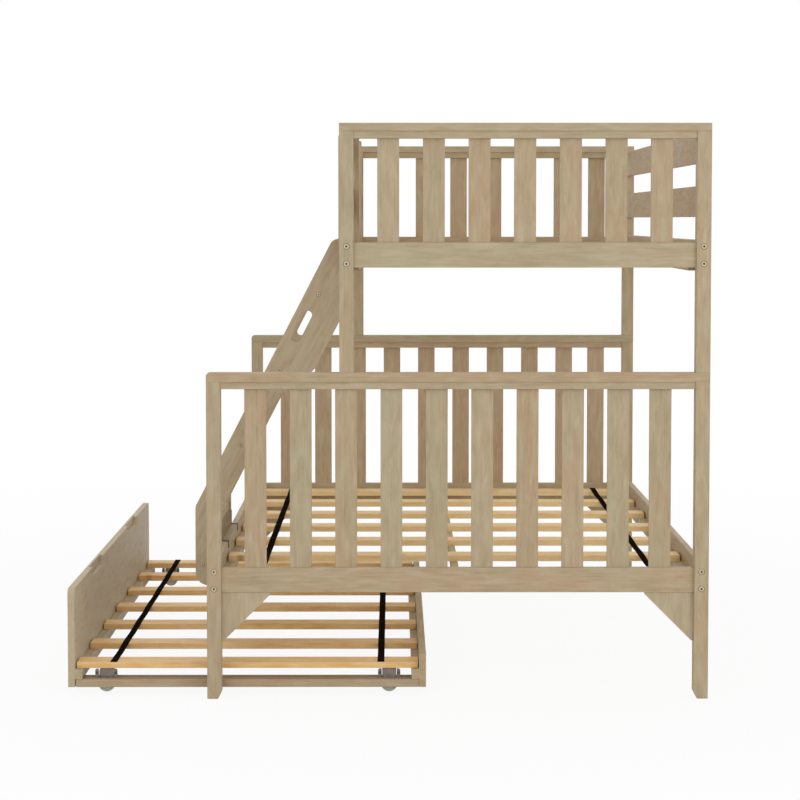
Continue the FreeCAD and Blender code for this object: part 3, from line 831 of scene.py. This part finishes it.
def cover(mesh, low, high, board_top):
    """A pressed hood over a wheel: a bent top, two cheeks, a neck through the board and two screwed ears."""
    middle_x, depth = (low.x + high.x) / 2, high.y - low.y
    hood_half, half = cover_hood / 2, (high.x - low.x) / 2
    neck = half - cover_lip
    seat, top = board_top + cover_sheet, high.z
    tab_top, tab_bend = top - tab_drop, cover_crown / 2
    hood = hood_outline(seat, top)
    inside = [(x * (1 - cover_sheet / hood_half), min(z, top - cover_sheet)) for x, z in hood]

    def pressed(outline, y_start, thick):
        plate(mesh, [(middle_x + x, z) for x, z in outline], y_start, thick)

    pressed(hood + inside[::-1], low.y, depth)
    for y_start in (low.y, high.y - cover_sheet):
        pressed(inside, y_start, cover_sheet)
        pressed(rectangle(-neck, low.z, neck, board_top), y_start, cover_sheet)
    for side in (-1, 1):
        inner, outer = side * hood_half, side * half
        tab_start = inner + side * tab_gap
        pressed(rectangle(inner, board_top, outer, seat), low.y, depth)
        pressed([(tab_start, seat), (outer, seat), (outer, tab_top - tab_bend),
                 (outer - side * tab_bend, tab_top), (tab_start, tab_top)], low.y, cover_sheet)
        spot = Vector((middle_x + (inner + outer) / 2, low.y - ear_screw_rise, (seat + tab_top) / 2))
        ear_screw(mesh, spot)


def covers(node):
    """All wheel covers of the trundle, on top of its cross boards."""
    board_top = boxes_of["trundle_cross_boards"][0][1].z
    mesh = bmesh.new()
    for low, high in boxes_of[node]:
        cover(mesh, low, high, board_top)
    bmesh.ops.recalc_face_normals(mesh, faces=mesh.faces)
    stand_in(f"{node}_pressed", mesh, node)


def hooks(node):
    """Bent straps with eased edges, painted near black all over as painted shade for the dark line where the
    ladder hooks over the rail.
    """
    mesh = flat_faced(node)
    ease(mesh, node, steel_ease)
    keep_sharp(mesh)
    blacken(mesh, hook_painted_shade)
    shade_eased(stand_in(f"{node}_bent", mesh, node))


def plain_steel(node):
    """A node that stays as it is, in plated steel."""
    shape = nodes[node].data
    shape.materials.clear()
    shape.materials.append(materials["zinc_steel"])


# Stage


def floor():
    """Pale floor that shows white to the camera and keeps a soft shadow near the object."""
    mesh = bmesh.new()
    bmesh.ops.create_grid(mesh, x_segments=1, y_segments=1, size=floor_reach)
    shape = bpy.data.meshes.new("floor")
    mesh.to_mesh(shape)
    mesh.free()
    plane = bpy.data.objects.new("floor", shape)
    bpy.context.collection.objects.link(plane)
    finish = Finish("floor")
    finish.surface("Base Color", floor_colour)
    finish.surface("Roughness", floor_roughness)
    finish.surface("Specular IOR Level", floor_specular)
    glow = finish.node("ShaderNodeEmission", {"Color": white, "Strength": 1.0})
    place = finish.node("ShaderNodeNewGeometry").outputs["Position"]
    away = finish.node("ShaderNodeVectorMath", {0: place}, operation="LENGTH").outputs["Value"]
    fade = finish.ramp(away, white_start, white_full, near_white_share, 1.0)
    seen = finish.calc("MULTIPLY", fade, finish.seen_rays())
    mixed = finish.node("ShaderNodeMixShader", {0: seen, 1: finish.shader.outputs[0], 2: glow.outputs[0]})
    finish.feed(finish.tree.nodes["Material Output"].inputs["Surface"], mixed.outputs[0])
    shape.materials.append(finish.material)


def sky():
    """White where it is seen, softer where it lights."""
    world = bpy.data.worlds.new("studio")
    bpy.context.scene.world = world
    world.use_nodes = True
    shading = Shading(world.node_tree)
    background = world.node_tree.nodes["Background"]
    shading.feed(background.inputs["Color"], white)
    shading.feed(background.inputs["Strength"], shading.ramp(shading.seen_rays(), 0.0, 1.0, sky_level, 1.0))


def add_lamp(lamp):
    """A large soft lamp turned to a point."""
    data = bpy.data.lights.new(lamp.name, "AREA")
    data.shape = "DISK"
    data.size = lamp_size
    data.energy = lamp.power
    made = bpy.data.objects.new(lamp.name, data)
    made.location = lamp.place
    made.rotation_euler = (Vector(lamp.aim) - Vector(lamp.place)).to_track_quat("-Z", "Y").to_euler()
    bpy.context.collection.objects.link(made)


def camera():
    """The photograph's viewing angle."""
    data = bpy.data.cameras.new("camera")
    data.sensor_width = camera_sensor
    data.lens = camera_lens
    data.shift_y = camera_shift
    made = bpy.data.objects.new("camera", data)
    made.location = camera_place
    made.rotation_euler = (math.pi / 2 - camera_dip, 0.0, -camera_turn)
    bpy.context.collection.objects.link(made)
    bpy.context.scene.camera = made


# The whole bed on its stage

for wooden in [name for name in nodes if slot_of[name] in ("washed_wood", "pine_slats")]:
    boards(wooden)
for strapped, slatted in slats_under.items():
    straps(strapped, slatted)
for fastener in bolt_nodes:
    bolts(fastener)
for wheel in [name for name in nodes if name.startswith("wheel_")]:
    roller(wheel)
covers("caster_covers")
hooks("ladder_hooks")
for steel in hidden_steel:
    plain_steel(steel)

floor()
sky()
for studio_lamp in lamps:
    add_lamp(studio_lamp)
camera()
bpy.context.scene.view_settings.view_transform = "Standard"
